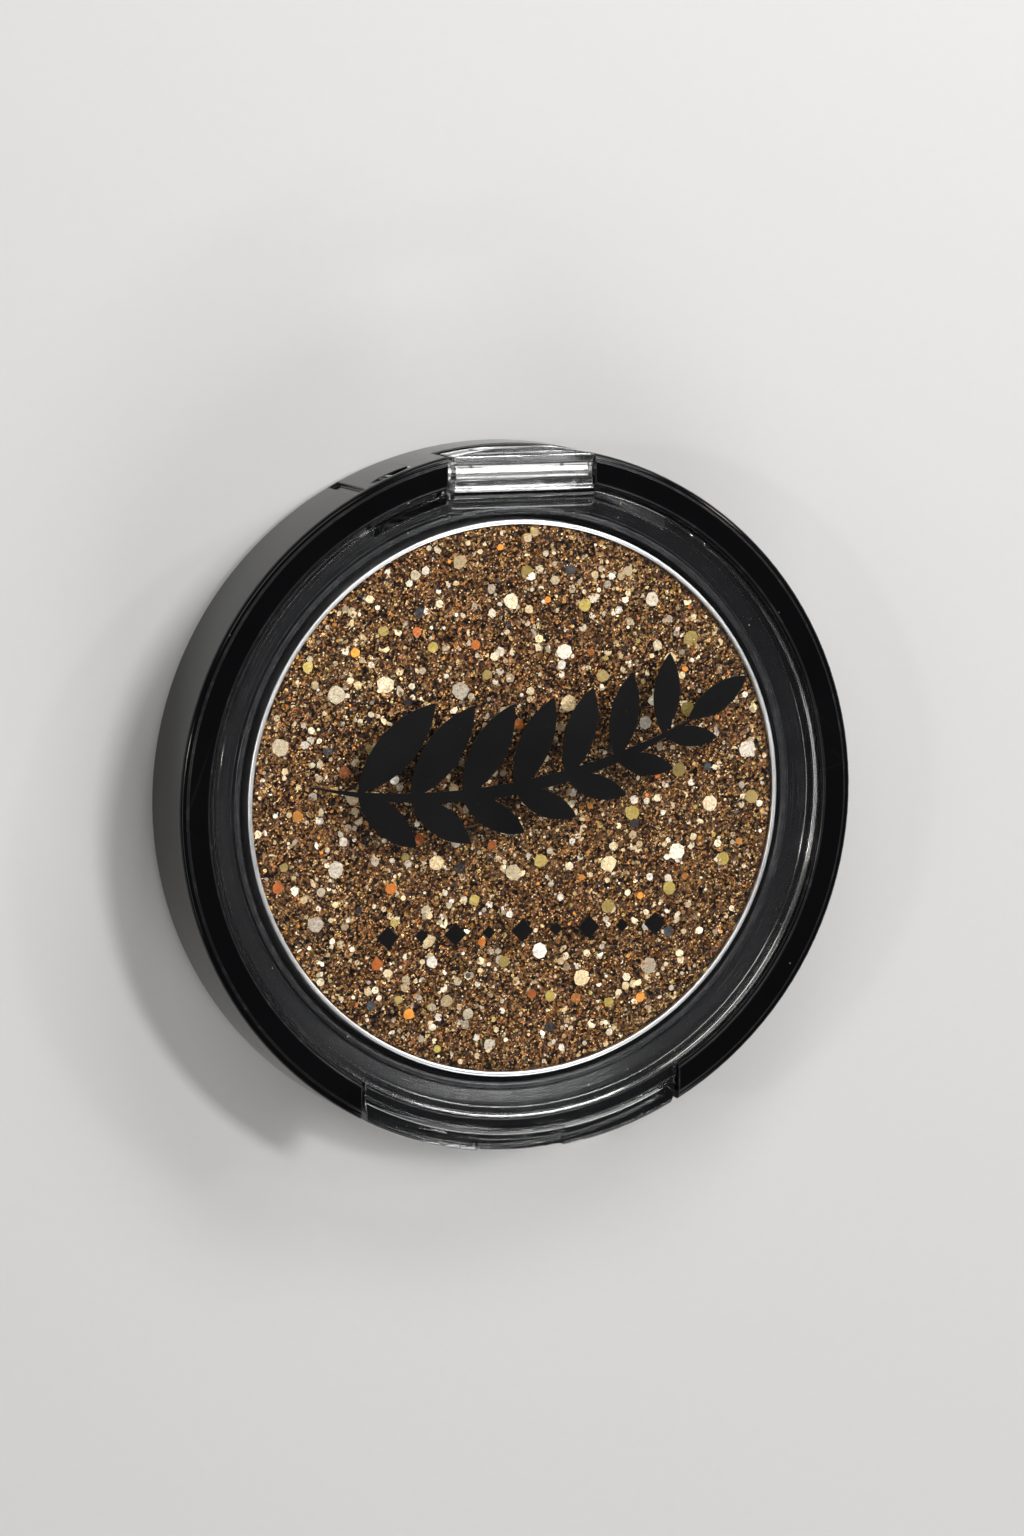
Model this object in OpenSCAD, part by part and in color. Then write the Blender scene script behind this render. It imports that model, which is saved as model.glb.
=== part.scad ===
// Round single-pan glitter compact. A black case with a wide raised rim holds a
// satin inner tray, one aluminium pan and its pressed glitter. The clear lid
// nests inside the rim, fills a notch in it at the front with its thumb tab, and
// turns on a steel pin through a knuckle at the back. The case lies on its foot,
// +Z is up through the lid, +Y points to the hinge and -Y to the thumb tab.

/* [Case] */
// Outside diameter of the case
case_d = 60; // [58:0.5:62]
// Height of the case up to the flat face of its rim
case_h = 9.5; // [9.4:0.1:10.4]
// Width of the flat rim, from its inside edge to the outside
rim_w = 2.7; // [2.6:0.05:2.8]
// Width of the low step around the outer edge of the rim
rim_step_w = 0.6; // [0.5:0.05:0.7]
// Depth of that step, also its corner radius
rim_step_h = 0.15; // [0.1:0.05:0.25]
// Thickness of the case floor
floor_t = 1.5; // [1.3:0.1:1.6]
// Radius of the rounded bottom edge
foot_round = 1.2; // [0.9:0.1:1.4]
// Height of the foot ring under the floor
foot_h = 0.4; // [0.3:0.05:0.5]
// Width of each seam line up the back of the case wall
seam_w = 0.9; // [0.6:0.1:1.2]
// Distance of each seam line from the middle plane
seam_x = 14; // [13:0.5:15]

/* [Inner tray] */
// Drop from the rim's face down to the tray's deck
deck_drop = 2.2; // [2.1:0.05:2.3]
// Thickness of the tray's deck
deck_t = 1.2; // [1:0.1:1.3]
// Radial width of the deck
deck_w = 3.3; // [3.2:0.05:3.4]
// Depth of the deck's dish, from its outside edge down to the bead round the well
deck_dish = 0.42; // [0.2:0.02:0.5]
// Thickness of the well's wall and floor
well_t = 1; // [0.8:0.1:1]

/* [Pan and powder] */
// Radial gap between the pan and the tray's well
pan_gap = 0.45; // [0.3:0.05:0.5]
// Height of the pan's edge above the deck
pan_rise = 0.3; // [0.2:0.05:0.35]
// Wall thickness of the drawn aluminium pan
pan_t = 0.42; // [0.35:0.01:0.45]
// Thickness of the glue disc under the pan
glue_t = 0.15; // [0.1:0.05:0.2]
// Drop from the pan's edge to the face of the pressed powder
powder_drop = 0.25; // [0.2:0.05:0.35]
// Number of places for large flakes on the powder
flake_places = 180; // [120:10:190]

/* [Lid] */
// Thickness of the clear lid
lid_t = 1.2; // [1.1:0.1:1.3]
// Radial gap between the lid and the rim
lid_gap = 0.25; // [0.25:0.05:0.3]
// Width of the lip under the lid's edge
lip_w = 0.75; // [0.6:0.05:0.8]
// Depth of that lip below the lid
lip_h = 0.7; // [0.6:0.05:0.75]
// Half width of the thumb tab
tab_x = 14; // [12:0.5:14.5]
// Radial thickness of the tab's skirt
tab_skirt_t = 1.35; // [1.2:0.05:1.4]
// Height of the skirt's bottom edge
tab_z = 3; // [2.9:0.1:3.6]
// Half width of the stepped thumb recess
thumb_x = 3.9; // [3:0.1:5]

/* [Hinge] */
// Radius of the hinge pin
pin_r = 0.7; // [0.6:0.05:0.75]
// Half length of the hinge pin
pin_x = 9.6; // [9:0.1:10]
// Radius of the lid's knuckle
knuckle_r = 2.1; // [2:0.05:2.1]
// Half width of the knuckle
knuckle_x = 6.3; // [5:0.1:6.5]
// Running clearance of the knuckle on its pin, on radius
pin_fit = 0.05; // [0.02:0.01:0.08]

/* [Hidden] */

fine = 128;
case_r = case_d / 2;
rim_in_r = case_r - rim_w;
rim_bevel = 0.25;
floor_z = foot_h + floor_t;
deck_z = case_h - deck_drop;
shelf_z = deck_z - deck_t;
flange_r = rim_in_r + 0.2;
well_r = flange_r - deck_w;
pan_r = well_r - pan_gap;
pan_top = deck_z + pan_rise;
deck_bead = 0.4;
well_floor_z = floor_z + 0.1 + well_t;
pan_z = well_floor_z + glue_t;
powder_r = pan_r - pan_t;
powder_z = pan_top - powder_drop;
label_r = 18.5;
label_t = 0.1;
label_recess = 0.2;
label_gap = 0.3;
glue_r = 14;

lid_r = rim_in_r - lid_gap;
lid_z = case_h - lid_t;
lip_z = lid_z - lip_h;
lid_bevel = 0.2;
print_t = 0.06;

notch_gap = 0.25;
tab_in_r = case_r - tab_skirt_t;
wall_out_r = tab_in_r - 0.35;
wall_top = lid_z - 0.4;
notch_z = tab_z - 0.4;
tab_step_r = case_r - 1.9;
tab_step_h = 0.2;
tab_bevel = 0.35;
waist = 0.25;
catch_x = 5;
catch_h = 0.6;
catch_z = tab_z + 2;
bead_z = tab_z + 1.1;
bead_reach = 0.13;

pin_y = case_r - 2.2;
pin_z = case_h - 1.6;
knuckle_in = 4.6;
knuckle_top = pin_z + knuckle_r;
knuckle_corner = 0.9;
pad_x = knuckle_x + 0.1;
pad_reach = 0.45;
pad_h = 0.14;
hinge_notch_z = pin_z - knuckle_r - 0.8;
relief_x = 13;
far = case_d;

// Points of a quarter arc around c, from one angle to another.
function arc(c, r, from, to, steps = 6) =
  [for (i = [0:steps]) let (a = from + (to - from) * i / steps) c + r * [cos(a), sin(a)]];

// Half section of the case: underside, foot, wall, stepped rim, lip, groove and floor.
function case_section() = concat(
  [[0, foot_h + label_recess], [label_r + label_gap, foot_h + label_recess]],
  [[label_r + label_gap, foot_h], [case_r - 6, foot_h], [case_r - 6 + foot_h, 0]],
  arc([case_r - foot_round, foot_round], foot_round, -90, 0),
  arc([case_r - rim_step_w + rim_step_h, case_h - rim_step_w], rim_step_w - rim_step_h, 0, 90, 4),
  [[case_r - rim_step_w, case_h - rim_step_h], [case_r - rim_step_w, case_h]],
  [[rim_in_r + rim_bevel, case_h], [rim_in_r, case_h - rim_bevel]],
  [[rim_in_r, deck_z + 0.2], [flange_r + 0.1, deck_z + 0.1], [flange_r + 0.1, shelf_z]],
  [[rim_in_r - 0.4, shelf_z], [rim_in_r - 0.4, floor_z], [0, floor_z]]
);

// A full turn of a half section.
module turned(points) {
  rotate_extrude($fn = fine) polygon(points);
}

// The part of a turned section that lies in front of or behind the middle, within x.
module turned_sector(points, half_x, side) {
  intersection() {
    turned(points);
    translate([-half_x, side > 0 ? 0 : -far, -1]) cube([2 * half_x, far, 2 * case_h]);
  }
}

// A bar along X with a section drawn in Y and Z.
module bar_x(half_x) {
  translate([-half_x, 0, 0]) rotate([90, 0, 90]) linear_extrude(2 * half_x) children();
}

// A rectangle with true round corners.
module rounded(y0, y1, z0, z1, r) {
  translate([y0 + r, z0]) square([y1 - y0 - 2 * r, z1 - z0]);
  translate([y0, z0 + r]) square([y1 - y0, z1 - z0 - 2 * r]);
  for (y = [y0 + r, y1 - r], z = [z0 + r, z1 - r]) translate([y, z]) circle(r, $fn = 32);
}

// A round rod along X at the hinge axis.
module axis_rod(r, half_x) {
  translate([-half_x, pin_y, pin_z]) rotate([0, 90, 0]) cylinder(h = 2 * half_x, r = r, $fn = 48);
}

// Room for the knuckle to turn in, through the back of the case or of the tray.
module hinge_room(from_y, from_z, half_x) {
  translate([-half_x, from_y, from_z]) cube([2 * half_x, far, 2 * case_h]);
}

module base_shell() {
  color([0.03, 0.03, 0.035]) {
    difference() {
      turned(case_section());
      hinge_room(pin_y - 2.6, hinge_notch_z, knuckle_x + notch_gap);
      turned_sector(front_notch_section(), tab_x + notch_gap, -1);
      axis_rod(pin_r + 0.01, case_r);
      for (side = [-1, 1]) seam_groove(side);
    }
    turned_sector(catch_section(), catch_x, -1);
  }
}

// What the thumb tab takes out of the rim and the front wall.
function front_notch_section() = [
  [wall_out_r, notch_z], [case_r + 1, notch_z], [case_r + 1, case_h + 1],
  [rim_in_r - 0.5, case_h + 1], [rim_in_r - 0.5, wall_top], [wall_out_r, wall_top]
];

// The ledge on the front wall that the tab's bead passes under.
function catch_section() = [
  [wall_out_r - 0.2, catch_z], [wall_out_r + 0.1, catch_z], [wall_out_r + 0.2, catch_z + 0.15],
  [wall_out_r + 0.2, catch_z + catch_h - 0.15], [wall_out_r - 0.2, catch_z + catch_h + 0.15]
];

// A shallow upright groove where the back panel of the wall begins.
module seam_groove(side) {
  depth = 0.3;
  y = sqrt(pow(case_r, 2) - pow(seam_x, 2));
  translate([side * seam_x, y, foot_round])
    rotate([0, 0, -side * asin(seam_x / case_r)])
      translate([-seam_w / 2, -depth, 0]) cube([seam_w, 1, case_h - foot_round - 0.9]);
}

module base_label() {
  color("whitesmoke")
    translate([0, 0, foot_h + label_recess - label_t]) cylinder(h = label_t, r = label_r, $fn = fine);
}

// Half section of the tray: cup, flange, flat edge, dished deck and the bead round the well.
function tray_section() = concat(
  [[0, floor_z + 0.1], [well_r + well_t, floor_z + 0.1], [well_r + well_t, shelf_z]],
  [[flange_r, shelf_z], [flange_r, deck_z], [flange_r - 0.55, deck_z]],
  [[well_r + 2 * deck_bead + 0.9, deck_z - 0.55 * deck_dish]],
  [[well_r + 2 * deck_bead, deck_z - deck_dish - 0.05]],
  arc([well_r + deck_bead, deck_z - deck_dish - 0.05], 0.9 * deck_bead, 15, 165),
  [[well_r, deck_z - deck_dish - 0.1], [well_r, well_floor_z], [0, well_floor_z]]
);

module inner_tray() {
  color([0.07, 0.07, 0.075]) difference() {
    turned(tray_section());
    hinge_room(pin_y - 2.5, shelf_z - 1, knuckle_x + 2 * notch_gap);
  }
}

module pan_adhesive() {
  color("ivory") translate([0, 0, well_floor_z]) cylinder(h = glue_t, r = glue_r, $fn = fine);
}

module pan() {
  corner = 0.4;
  lip = 0.1;
  color("silver") turned(concat(
    [[0, pan_z]],
    arc([pan_r - corner, pan_z + corner], corner, -90, 0, 4),
    [[pan_r, pan_top - lip], [pan_r - lip, pan_top], [powder_r + lip, pan_top], [powder_r, pan_top - lip]],
    [[powder_r, pan_z + pan_t], [0, pan_z + pan_t]]
  ));
}

module glitter_cake() {
  shoulder = 0.12;
  color([0.45, 0.3, 0.18]) turned([
    [0, pan_z + pan_t], [powder_r, pan_z + pan_t], [powder_r, powder_z - shoulder],
    [powder_r - 2 * shoulder, powder_z], [0, powder_z]
  ]);
}

// Large six-sided flakes lying on the powder. The places follow a sunflower spiral, and
// each kind of flake takes every place whose number leaves its own remainder.
module flakes(step, first, smallest, largest) {
  golden = 137.508;
  field_r = powder_r - 1.2;
  for (i = [first:step:flake_places - 1]) {
    size = smallest + (largest - smallest) * (0.5 + 0.5 * sin(i * 77));
    r = field_r * sqrt((i + 0.5) / flake_places);
    translate([r * cos(i * golden), r * sin(i * golden), powder_z])
      rotate([0, 0, i * 41]) cylinder(h = 0.05, d = size, $fn = 6);
  }
}

module champagne_flakes() {
  color([0.93, 0.85, 0.68]) flakes(3, 0, 0.7, 1.7);
}

module copper_flakes() {
  color([0.75, 0.36, 0.1]) flakes(6, 1, 0.6, 1.2);
}

module olive_flakes() {
  color([0.66, 0.6, 0.2]) flakes(6, 4, 0.8, 1.5);
}

module black_flakes() {
  color([0.06, 0.07, 0.08]) flakes(9, 2, 0.6, 1.1);
}

// Half section of the clear disc with its lip and bevelled edge.
function lid_section() = [
  [0, lid_z], [lid_r - lip_w, lid_z], [lid_r - lip_w, lip_z], [lid_r - 0.15, lip_z],
  [lid_r, lip_z + 0.15], [lid_r, case_h - lid_bevel], [lid_r - lid_bevel, case_h], [0, case_h]
];

// Half section of the thumb tab: top plate with a low step, and the skirt outside the wall.
function tab_section() = [
  [lid_r - 1, lid_z], [tab_in_r, lid_z], [tab_in_r, tab_z], [case_r - tab_bevel, tab_z],
  [case_r, tab_z + tab_bevel], [case_r, case_h - tab_step_h - tab_bevel],
  [case_r - tab_bevel, case_h - tab_step_h], [tab_step_r, case_h - tab_step_h],
  [tab_step_r - 0.1, case_h], [lid_r - 1, case_h]
];

// The bead inside the skirt that clicks past the ledge on the case.
function bead_section() = [
  [tab_in_r + 0.3, bead_z - 0.3], [tab_in_r - bead_reach, bead_z], [tab_in_r - bead_reach, bead_z + 0.3],
  [tab_in_r + 0.3, bead_z + 0.6]
];

// What the stepped thumb recess takes out of the tab.
function thumb_section() = [
  [case_r - 1.7, case_h - 0.55], [case_r - 0.95, case_h - 0.6], [case_r - 0.95, case_h - 1.25],
  [case_r + 1, case_h - 1.35], [case_r + 1, case_h + 1], [case_r - 1.7, case_h + 1]
];

// The wedge under the lid's back edge that lets it swing up past the rim.
function relief_section() = [
  [lid_r + 1, lip_z - 1], [lid_r + 1, case_h - 0.3], [lid_r, case_h - 0.3],
  [lid_r - 1, lid_z + 0.1], [lid_r - 1, lid_z - 0.01], [lid_r - 1, lip_z - 1]
];

module thumb_tab() {
  bow = 8;
  difference() {
    union() {
      turned_sector(tab_section(), tab_x, -1);
      turned_sector(bead_section(), catch_x - 1, -1);
    }
    turned_sector(thumb_section(), thumb_x, -1);
    for (side = [-1, 1])
      translate([side * (tab_x + bow - waist), -case_r + 3, 0])
        cylinder(h = 2 * case_h, r = bow, $fn = 64);
  }
}

// The knuckle bar with waisted ends, its back rounded to the outline of the case.
module knuckle() {
  bow = 5;
  intersection() {
    cylinder(h = 2 * case_h, r = case_r, $fn = fine);
    difference() {
      bar_x(knuckle_x) {
        translate([pin_y, pin_z]) circle(knuckle_r, $fn = 64);
        rounded(case_r - knuckle_in, case_r, lid_z, knuckle_top - 0.05, knuckle_corner);
        translate([case_r - knuckle_in - 0.4, lid_z]) square([2, lid_t]);
      }
      for (side = [-1, 1])
        translate([side * (knuckle_x + bow - waist), pin_y, 0]) cylinder(h = 2 * case_h, r = bow, $fn = 64);
    }
  }
}

// The low pad with round corners that frames the knuckle's foot on the lid.
module knuckle_pad() {
  pad_y = case_r - knuckle_in - pad_reach;
  translate([0, 0, lid_z + 0.2])
    linear_extrude(lid_t - 0.2 + pad_h) rounded(-pad_x, pad_x, pad_y, pad_y + 1.6, 0.5);
}

module lid() {
  color([0.9, 0.93, 0.95, 0.35]) difference() {
    union() {
      difference() {
        turned(lid_section());
        turned_sector(relief_section(), relief_x, 1);
      }
      thumb_tab();
      knuckle_pad();
      knuckle();
    }
    axis_rod(pin_r + pin_fit, case_r);
  }
}

// A leaf with both tips on the X axis, between two arcs.
module leaf(length, width) {
  r = (pow(length, 2) + pow(width, 2)) / (4 * width);
  intersection() {
    translate([length / 2, r - width / 2]) circle(r, $fn = 128);
    translate([length / 2, width / 2 - r]) circle(r, $fn = 128);
  }
}

// A small square standing on its corner.
module diamond(x, y, r) {
  translate([x, y]) rotate(45) square(r * sqrt(2), center = true);
}

// A sickle shape, point to point 2 * half, between two circles that cross at its tips.
module sickle(y, r, half, thick) {
  inner = r - thick;
  shift = (pow(r, 2) - pow(inner, 2)) / (2 * (inner - sqrt(pow(r, 2) - pow(half, 2))));
  difference() {
    translate([0, y + r]) circle(r, $fn = 256);
    translate([0, y + r + shift]) circle(inner + shift, $fn = 256);
  }
}

// A leafy sprig along a sickle-shaped stem, with a pair of leaves at each step.
module sprig(r, half) {
  step = 6.4;
  sickle(0, r, half, 1.1);
  for (i = [-3:3]) {
    turn = i * step;
    shrink = 1 - 0.06 * i;
    translate([r * sin(turn), r - r * cos(turn) + 0.3]) {
      rotate(turn + 58) leaf(8.6 * shrink, 2.9 * shrink);
      rotate(turn + 2 * step - 44) leaf(6 * shrink, 2.2 * shrink);
    }
  }
  translate([r * sin(3.55 * step), r - r * cos(3.55 * step) + 0.3]) rotate(4 * step) leaf(6.4, 2.2);
}

// Printed ornament: a leafy sprig, and a row of diamonds below.
module lid_print() {
  row_y = -11;
  row_step = 3;
  color([0.02, 0.02, 0.02]) translate([0, 0, case_h]) linear_extrude(print_t) {
    translate([-0.6, 0.6]) rotate(8) sprig(42, 18);
    for (i = [-4:4]) diamond(i * row_step, row_y, i % 2 == 0 ? 1 : 0.6);
  }
}

module hinge_pin() {
  color("silver") axis_rod(pin_r, pin_x);
}

base_shell();
base_label();
inner_tray();
pan_adhesive();
pan();
glitter_cake();
champagne_flakes();
copper_flakes();
olive_flakes();
black_flakes();
lid();
lid_print();
hinge_pin();
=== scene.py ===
"""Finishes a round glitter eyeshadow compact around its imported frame.

Every class below is one sub-assembly of the compact, one of its finishes, or the studio
around it. Lengths are in metres, in the frame's own axes: +Z up through the lid, +Y to the
hinge.
"""

import logging
import math
from dataclasses import dataclass, field
from enum import Enum

import bmesh
import bpy
import numpy as np
from mathutils import Matrix, Vector
from mathutils.bvhtree import BVHTree

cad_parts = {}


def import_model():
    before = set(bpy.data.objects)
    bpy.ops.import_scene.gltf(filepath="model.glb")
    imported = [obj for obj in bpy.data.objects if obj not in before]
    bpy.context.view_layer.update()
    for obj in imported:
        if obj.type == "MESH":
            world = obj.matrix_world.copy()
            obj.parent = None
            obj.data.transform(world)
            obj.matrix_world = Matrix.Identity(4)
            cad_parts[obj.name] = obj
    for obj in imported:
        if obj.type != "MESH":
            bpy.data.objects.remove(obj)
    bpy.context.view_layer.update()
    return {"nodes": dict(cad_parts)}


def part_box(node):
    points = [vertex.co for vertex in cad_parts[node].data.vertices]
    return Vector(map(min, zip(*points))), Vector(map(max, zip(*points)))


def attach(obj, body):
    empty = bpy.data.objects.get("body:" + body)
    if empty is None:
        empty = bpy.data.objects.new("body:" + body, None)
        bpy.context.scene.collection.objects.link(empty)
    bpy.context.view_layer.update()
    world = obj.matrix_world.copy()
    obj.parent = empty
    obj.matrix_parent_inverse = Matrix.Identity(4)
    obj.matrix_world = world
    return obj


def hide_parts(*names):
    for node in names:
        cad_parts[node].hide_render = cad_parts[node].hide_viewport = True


log = logging.getLogger("compact")

MM = 0.001
EDGE_MASK = "rounded_edge"
TINT = "tint"
MIX_A, MIX_B, MIX_RESULT = 6, 7, 2

Colour = tuple[float, float, float]
Socket = bpy.types.NodeSocket
Node = bpy.types.Node
Outputs = bpy.types.NodeOutputs


class Body(Enum):
    """The two bodies that the hinge joins."""

    CASE = "case"
    LID = "lid"


class FlakeKind(Enum):
    """The films that the glitter is cut from."""

    CHAMPAGNE = "champagne"
    GOLD = "gold"
    BRONZE = "bronze"
    COPPER = "copper"
    OLIVE = "olive"
    BLACK = "black"


# ---------------------------------------------------------------------------
# Node trees
# ---------------------------------------------------------------------------


def shade(colour: Colour, share: float) -> Colour:
    """The colour made lighter or darker by a share."""
    return tuple(part * share for part in colour)


@dataclass
class Wiring:
    """Short ways to add and join the nodes of one tree.

    Attributes:
        tree: The node tree being filled.
    """

    tree: bpy.types.NodeTree

    def join(self, source: object, socket: Socket) -> None:
        """Feeds a socket.

        Args:
            source: Another socket, or a plain value.
            socket: The socket that is fed.
        """
        if isinstance(source, Socket):
            self.tree.links.new(source, socket)
        else:
            socket.default_value = source

    def add(self, kind: str, inputs: dict[str | int, object] | None = None, **settings: object) -> Node:
        """Adds a node.

        Args:
            kind: The node's type name without its "ShaderNode" start.
            inputs: What each of its inputs is fed with, by name or place.
            settings: Properties to set on the node.

        Returns:
            The new node.
        """
        node = self.tree.nodes.new("ShaderNode" + kind)
        for key, value in settings.items():
            setattr(node, key, value)
        for key, value in (inputs or {}).items():
            self.join(value, node.inputs[key])
        return node

    def coordinates(self) -> Socket:
        """The piece's own coordinates in metres."""
        return self.add("TexCoord").outputs["Object"]

    def stretch(self, vector: object, scale: Colour) -> Socket:
        """Multiplies a vector by a scale for each axis."""
        return self.add("VectorMath", {0: vector, 1: scale}, operation="MULTIPLY").outputs["Vector"]

    def noise(self, vector: object, scale: float, detail: float = 3.0, rough: float = 0.5) -> Socket:
        """A noise value from 0 to 1.

        Args:
            vector: The socket that places the noise.
            scale: Features per metre, roughly.
            detail: How many finer layers are added.
            rough: How strong the finer layers are.

        Returns:
            The noise socket.
        """
        inputs = {"Vector": vector, "Scale": scale, "Detail": detail, "Roughness": rough}
        return self.add("TexNoise", inputs).outputs["Fac"]

    def span(
        self, value: object, low: float, high: float, to_low: float = 0.0, to_high: float = 1.0
    ) -> Socket:
        """Maps a value from one range to another, clamped at both ends.

        Args:
            value: The value.
            low: Start of its range.
            high: End of its range.
            to_low: What the start becomes.
            to_high: What the end becomes.

        Returns:
            The mapped value.
        """
        inputs = {"Value": value, "From Min": low, "From Max": high}
        inputs |= {"To Min": to_low, "To Max": to_high}
        return self.add("MapRange", inputs).outputs["Result"]

    def maths(self, operation: str, *values: object) -> Socket:
        """One arithmetic step on sockets or numbers."""
        return self.add("Math", dict(enumerate(values)), operation=operation).outputs["Value"]

    def layered(self, base: object, *layers: tuple[object, float]) -> object:
        """Adds masks to a value.

        Args:
            base: The value where no mask lies.
            layers: Each mask with what it adds at its full strength.

        Returns:
            The sum.
        """
        total = base
        for mask, amount in layers:
            total = self.maths("MULTIPLY_ADD", mask, amount, total)
        return total

    def blend(self, factor: object, a: object, b: object, mode: str = "MIX") -> Socket:
        """Mixes two colours.

        Args:
            factor: How much of b is used.
            a: The first colour, a socket or three numbers.
            b: The second colour.
            mode: The way the colours are combined.

        Returns:
            The mixed colour.
        """
        a, b = (c if isinstance(c, Socket) else (*c, 1.0) for c in (a, b))
        inputs = {"Factor": factor, MIX_A: a, MIX_B: b}
        return self.add("Mix", inputs, data_type="RGBA", blend_type=mode).outputs[MIX_RESULT]

    def over(self, tone: object, mask: object, share: float, colour: Colour) -> Socket:
        """Lays a share of a colour over a tone where a mask lies."""
        return self.blend(self.maths("MULTIPLY", mask, share), tone, colour)

    def ramp(self, value: object, stops: tuple[tuple[float, Colour], ...]) -> Socket:
        """Turns a value into a colour along a row of stops.

        Args:
            value: The value, from 0 to 1.
            stops: Places along the row with their colours.

        Returns:
            The colour.
        """
        node = self.add("ValToRGB", {"Fac": value})
        marks = node.color_ramp.elements
        while len(marks) > 1:
            marks.remove(marks[-1])
        for index, (place, colour) in enumerate(stops):
            mark = marks[0] if index == 0 else marks.new(place)
            mark.position = place
            mark.color = (*colour, 1.0)
        return node.outputs["Color"]

    def bump(
        self, height: object, distance: float, strength: float = 1.0, normal: object = None
    ) -> Socket:
        """A normal from a height.

        Args:
            height: The height socket, from 0 to 1.
            distance: The depth in metres that a height of 1 stands for.
            strength: How much of it shows.
            normal: A normal to build on, if any.

        Returns:
            The bumped normal.
        """
        inputs = {"Height": height, "Distance": distance, "Strength": strength}
        if normal is not None:
            inputs["Normal"] = normal
        return self.add("Bump", inputs).outputs["Normal"]

    def effect(self, effect: "SharedEffect", **values: object) -> Outputs:
        """Places a shared effect.

        Args:
            effect: The effect.
            values: What its inputs are set to or fed with.

        Returns:
            Its outputs, by name.
        """
        return self.add("Group", values, node_tree=effect.tree()).outputs


class SharedEffect:
    """A shader node group that several finishes place, each with its own values.

    Attributes:
        name: The group's name.
        inputs: Its inputs with their usual numbers; None makes a vector input.
        outputs: Its outputs, each a number that changes over the surface.
    """

    name: str
    inputs: dict[str, float | None]
    outputs: tuple[str, ...]

    def tree(self) -> bpy.types.NodeTree:
        """Builds the group on first use and hands the same one out afterwards.

        Returns:
            The node group.
        """
        if self.name in bpy.data.node_groups:
            return bpy.data.node_groups[self.name]
        tree = bpy.data.node_groups.new(self.name, "ShaderNodeTree")
        for key, default in self.inputs.items():
            kind = "NodeSocketVector" if default is None else "NodeSocketFloat"
            socket = tree.interface.new_socket(key, in_out="INPUT", socket_type=kind)
            if default is not None:
                socket.default_value = default
        for key in self.outputs:
            tree.interface.new_socket(key, in_out="OUTPUT", socket_type="NodeSocketFloat")
        wiring = Wiring(tree)
        given = tree.nodes.new("NodeGroupInput").outputs
        result = tree.nodes.new("NodeGroupOutput").inputs
        for key, value in self.fill(wiring, given).items():
            wiring.join(value, result[key])
        return tree

    def fill(self, w: Wiring, given: Outputs) -> dict[str, Socket]:
        """Adds the group's own nodes.

        Args:
            w: The group's tree.
            given: The group's inputs, by name.

        Returns:
            What each output puts out.
        """
        raise NotImplementedError


class HandlingMarks(SharedEffect):
    """The marks that fingers, cloths and drawers leave on moulded plastic.

    Attributes:
        hairlines: Turn of each set of scratches, and its closeness along each axis.
    """

    name = "handling_marks"
    inputs = {"Vector": None, "Scale": 1.0, "Amount": 1.0}
    outputs = ("Scratches", "Smudge", "Dust")
    hairlines = ((0.35, (260, 9, 40)), (-0.8, (340, 12, 40)), (1.3, (300, 8, 40)))

    def scratches(self, w: Wiring, place: Socket) -> Socket:
        """Hairlines in a few directions.

        Args:
            w: The group's tree.
            place: Coordinates.

        Returns:
            Where the hairlines lie.
        """
        layers = []
        for turn, closeness in self.hairlines:
            turned = w.add("VectorRotate", {"Vector": place, "Angle": turn}, rotation_type="Z_AXIS")
            lines = w.stretch(turned.outputs["Vector"], closeness)
            layers.append(w.span(w.noise(lines, scale=6.0, detail=2.0, rough=0.6), 0.69, 0.76))
        return w.maths("MAXIMUM", w.maths("MAXIMUM", layers[0], layers[1]), layers[2])

    def dust(self, w: Wiring, place: Socket) -> Socket:
        """A few round specks.

        Args:
            w: The group's tree.
            place: Coordinates.

        Returns:
            Where the specks lie.
        """
        specks = w.add("TexVoronoi", {"Vector": place, "Scale": 900.0}, feature="F1").outputs
        near = w.span(specks["Distance"], 0.05, 0.09, 1.0, 0.0)
        shade_of_cell = w.add("SeparateColor", {"Color": specks["Color"]})
        rare = w.maths("GREATER_THAN", shade_of_cell.outputs["Red"], 0.86)
        return w.maths("MULTIPLY", near, rare)

    def fill(self, w: Wiring, given: Outputs) -> dict[str, Socket]:
        """Adds the scratches, the smudges and the dust.

        Args:
            w: The group's tree.
            given: The group's inputs, by name.

        Returns:
            What each output puts out.
        """
        sized = w.add("VectorMath", {0: given["Vector"], "Scale": given["Scale"]}, operation="SCALE")
        place = sized.outputs["Vector"]
        smudge = w.span(w.noise(place, scale=90.0, detail=4.0, rough=0.6), 0.42, 0.72)
        masks = {"Scratches": self.scratches(w, place), "Smudge": smudge, "Dust": self.dust(w, place)}
        return {key: w.maths("MULTIPLY", mask, given["Amount"]) for key, mask in masks.items()}


class HighlightedRubbedEdge(SharedEffect):
    """The rounded edges: a steady share on every one, which the black finishes lay on as a painted
    highlight, with rubbed wear in broken stretches over it.
    """

    name = "highlighted_rubbed_edge"
    inputs = {"Vector": None, "Mask": 0.0, "Steady": 0.3}
    outputs = ("HighlightAndWear",)

    def fill(self, w: Wiring, given: Outputs) -> dict[str, Socket]:
        """Breaks up the mask of the rounded edges, never below the steady share.

        Args:
            w: The group's tree.
            given: The group's inputs, by name.

        Returns:
            What each output puts out.
        """
        broken = w.span(w.noise(given["Vector"], scale=700.0, detail=4.0, rough=0.65), 0.35, 0.65)
        kept = w.maths("MAXIMUM", broken, given["Steady"])
        return {"HighlightAndWear": w.maths("MULTIPLY", kept, given["Mask"])}


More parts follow.
